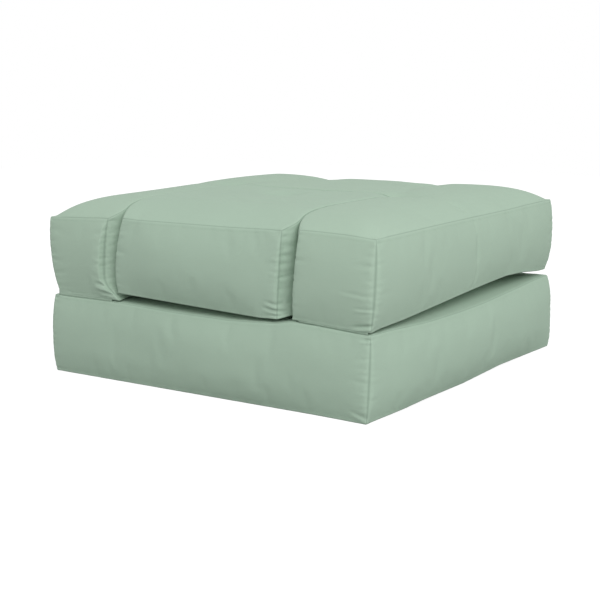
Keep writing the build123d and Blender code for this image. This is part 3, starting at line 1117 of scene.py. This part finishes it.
tie = sage_thread("sage_tie_cord", (0.38, 0.51, 0.40))
tuft_knots("base_tuft_knots", base_cushion, base_tufts, "base_tuft_ties", "base")
rear_knots = tuft_knots(
    "rear_tuft_knots", upper_cushion, rear_tufts, "rear_tuft_ties", "upper_cushion"
)
block_knot = tuft_knots(
    "back_block_tuft_knot", back_block_cushion, [block_tuft], "back_block_tuft_tie", "back_block"
)
press_flat(rear_knots)
press_flat(block_knot)

# Hinge strips
# Doubled strips of the same twill. Two are sewn into the front seams of the base and the arms,
# and lie hidden between these two edges. The third hangs in the slit behind the back block and
# joins its top edge to the rear block's.
strip_half_thickness = 0.0006
seam_y = -0.4846
strip_hem = -0.478
back_strip_hang = 0.066
back_strip_gap = 0.0011
back_strip_drop = 0.0010
back_strip_half = 0.193
joints = {joint["name"]: joint["pos_m"] for joint in frame["record"]["behaviour"]["joints"]}
fold_y, fold_z = joints["upper_fold"][1:]
flip_y, flip_z = joints["back_flip"][1:]
turn_room = 0.00195


def thick_path(path):
    """Outline of a strip's section: both sides of a bent centre line."""
    path = np.array(path)
    ahead = np.gradient(path, axis=0)
    ahead /= np.linalg.norm(ahead, axis=1, keepdims=True)
    side = np.stack([-ahead[:, 1], ahead[:, 0]], 1) * strip_half_thickness
    return np.vstack([path + side, (path - side)[::-1]])


def hinge_strip(name, places, path_at):
    """A strip of cloth swept along X; path_at gives its section's centre line at a place."""
    sections = [thick_path(path_at(x)) for x in places]
    around = len(sections[0])
    corners = [(x, y, z) for x, section in zip(places, sections) for y, z in section.tolist()]
    faces = [list(reversed(range(around))), [len(corners) - around + n for n in range(around)]]
    for row in range(len(places) - 1):
        at, up = row * around, (row + 1) * around
        for n in range(around):
            m = (n + 1) % around
            faces.append((at + n, at + m, up + m, up + n))
    mesh = smooth_mesh(name, corners, faces)
    plan = mesh.uv_layers.new(name="cloth_plan")
    for loop, spot in zip(mesh.loops, plan.data):
        corner = corners[loop.vertex_index]
        spot.uv = (corner[0], corner[1] + corner[2])
    for label in ("edge_gap", "corner_gap"):
        gap = mesh.attributes.new(label, "FLOAT", "POINT")
        gap.data.foreach_set("value", [1.0] * len(corners))
    mesh.materials.append(strip_twill)
    piece = in_scene(name, mesh)
    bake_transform(piece)
    return piece


def front_path(x):
    """From the base's seam, up past the fold and into the arm's seam."""
    base_z = np.interp(x, *base_front_edge)
    sway = 0.0003 * math.sin(90 * x) + 0.0002 * math.sin(210 * x + 1)
    return (
        (strip_hem, base_z - 0.002),
        (seam_y + 0.0006, base_z - 0.0005),
        (seam_y, (base_z + fold_z - turn_room) / 2),
        (seam_y - 0.0002 + sway, fold_z - turn_room),
        (seam_y - 0.0002 + sway, fold_z + turn_room),
        (seam_y, fold_z + 0.004),
        (seam_y + 0.0011, fold_z + 0.007),
        (strip_hem, fold_z + 0.009),
    )


def back_path(x):
    """Up the rear block's wall, over the fold and down the back block's wall."""
    middle, here = layer_top(np.array([0.0, x]), np.array([0.03, 0.03]))
    top = flip_z - back_strip_drop - (middle - here)
    rear_side = (
        (back_strip_gap, top - back_strip_hang),
        (back_strip_gap, top - 0.030),
        (back_strip_gap, top - 0.003),
        (0.0008, top - 0.0008),
    )
    return (*rear_side, (0, top), *[(-y, z) for y, z in reversed(rear_side)])


strip_twill = sage_twill("strip_sage_twill", dye=(0.398, 0.528, 0.418), cloud=0.05)
for side, left, right in (("left", -0.468, -0.284), ("right", 0.290, 0.474)):
    strip = hinge_strip(
        side + "_hinge_strip",
        np.linspace(left, right, 32),
        front_path,
    )
    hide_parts("base_" + side + "_hinge_leaf", "upper_" + side + "_hinge_leaf")
back_strip = hinge_strip(
    "back_hinge_strip",
    np.linspace(-back_strip_half, back_strip_half, 40),
    back_path,
)
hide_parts("rear_hinge_leaf", "back_block_hinge_leaf")

# Studio
# A plain pale floor and white surroundings, one large soft lamp high up at the front right, and
# a camera where the photograph was taken from.
floor_half = 6
floor_colour = 0.43
shown_floor_colour = 0.3
shown_floor_glow = 0.86
surround_strength = 0.70
lamp_place = (5.0, -3.8, 4.1)
lamp_aim = (0, 0, 0.2)
lamp_size = 3.8
lamp_power = 248
white = bpy.data.materials.new("studio_white")
white.use_nodes = True
tree = white.node_tree
tree.nodes.clear()
lit = add_node(tree, "ShaderNodeBsdfDiffuse", Color=(*[floor_colour] * 3, 1))
shown = add_node(tree, "ShaderNodeBsdfDiffuse", Color=(*[shown_floor_colour] * 3, 1))
glow = add_node(tree, "ShaderNodeEmission", Strength=shown_floor_glow)
both = tree.nodes.new("ShaderNodeAddShader")
tree.links.new(shown.outputs[0], both.inputs[0])
tree.links.new(glow.outputs[0], both.inputs[1])
seen = tree.nodes.new("ShaderNodeLightPath")
mix = add_node(tree, "ShaderNodeMixShader", Fac=seen.outputs["Is Camera Ray"])
tree.links.new(lit.outputs[0], mix.inputs[1])
tree.links.new(both.outputs[0], mix.inputs[2])
add_node(tree, "ShaderNodeOutputMaterial", Surface=mix.outputs[0])

floor_mesh = bpy.data.meshes.new("floor")
floor_signs = ((-1, -1), (1, -1), (1, 1), (-1, 1))
floor_corners = [(x * floor_half, y * floor_half, 0) for x, y in floor_signs]
floor_mesh.from_pydata(floor_corners, [], [(0, 1, 2, 3)])
floor_mesh.materials.append(white)
floor = in_scene("floor", floor_mesh)

world = bpy.data.worlds.new("studio")
bpy.context.scene.world = world
world.use_nodes = True
tree = world.node_tree
seen = tree.nodes.new("ShaderNodeLightPath").outputs["Is Camera Ray"]
strength = add_node(
    tree, "ShaderNodeMapRange", Value=seen, To_Min=surround_strength, To_Max=1.0
)
background = {"Color": (1, 1, 1, 1), "Strength": strength.outputs["Result"]}
set_inputs(tree, tree.nodes["Background"], background)

lamp = bpy.data.lights.new("key_lamp", "AREA")
lamp.shape = "SQUARE"
lamp.size = lamp_size
lamp.energy = lamp_power
lamp_holder = in_scene("key_lamp", lamp)
lamp_holder.location = lamp_place
lamp_ray = Vector(lamp_aim) - Vector(lamp_place)
lamp_holder.rotation_euler = lamp_ray.to_track_quat("-Z", "Y").to_euler()

azimuth, elevation, roll = math.radians(34.17), math.radians(10.39), math.radians(-0.43)
camera_distance = 3.423
camera_target = np.array([-0.035, 0, 0.158])
image_width = 600
focal_pixels = 1242.6
sensor_width = 36
away = np.array([
    math.sin(azimuth) * math.cos(elevation),
    -math.cos(azimuth) * math.cos(elevation),
    math.sin(elevation),
])
level_right = np.array([math.cos(azimuth), math.sin(azimuth), 0])
level_up = np.cross(away, level_right)
right = level_right * math.cos(roll) + level_up * math.sin(roll)
up = level_up * math.cos(roll) - level_right * math.sin(roll)
place = camera_target + away * camera_distance
camera_data = bpy.data.cameras.new("camera")
camera_data.sensor_width = sensor_width
camera_data.sensor_fit = "HORIZONTAL"
camera_data.lens = focal_pixels / image_width * sensor_width
camera = in_scene("camera", camera_data)
camera_turn = np.stack([right, up, away, place], 1)
camera.matrix_world = Matrix([*camera_turn.tolist(), (0, 0, 0, 1)])
bpy.context.scene.camera = camera
bpy.context.scene.view_settings.view_transform = "Standard"
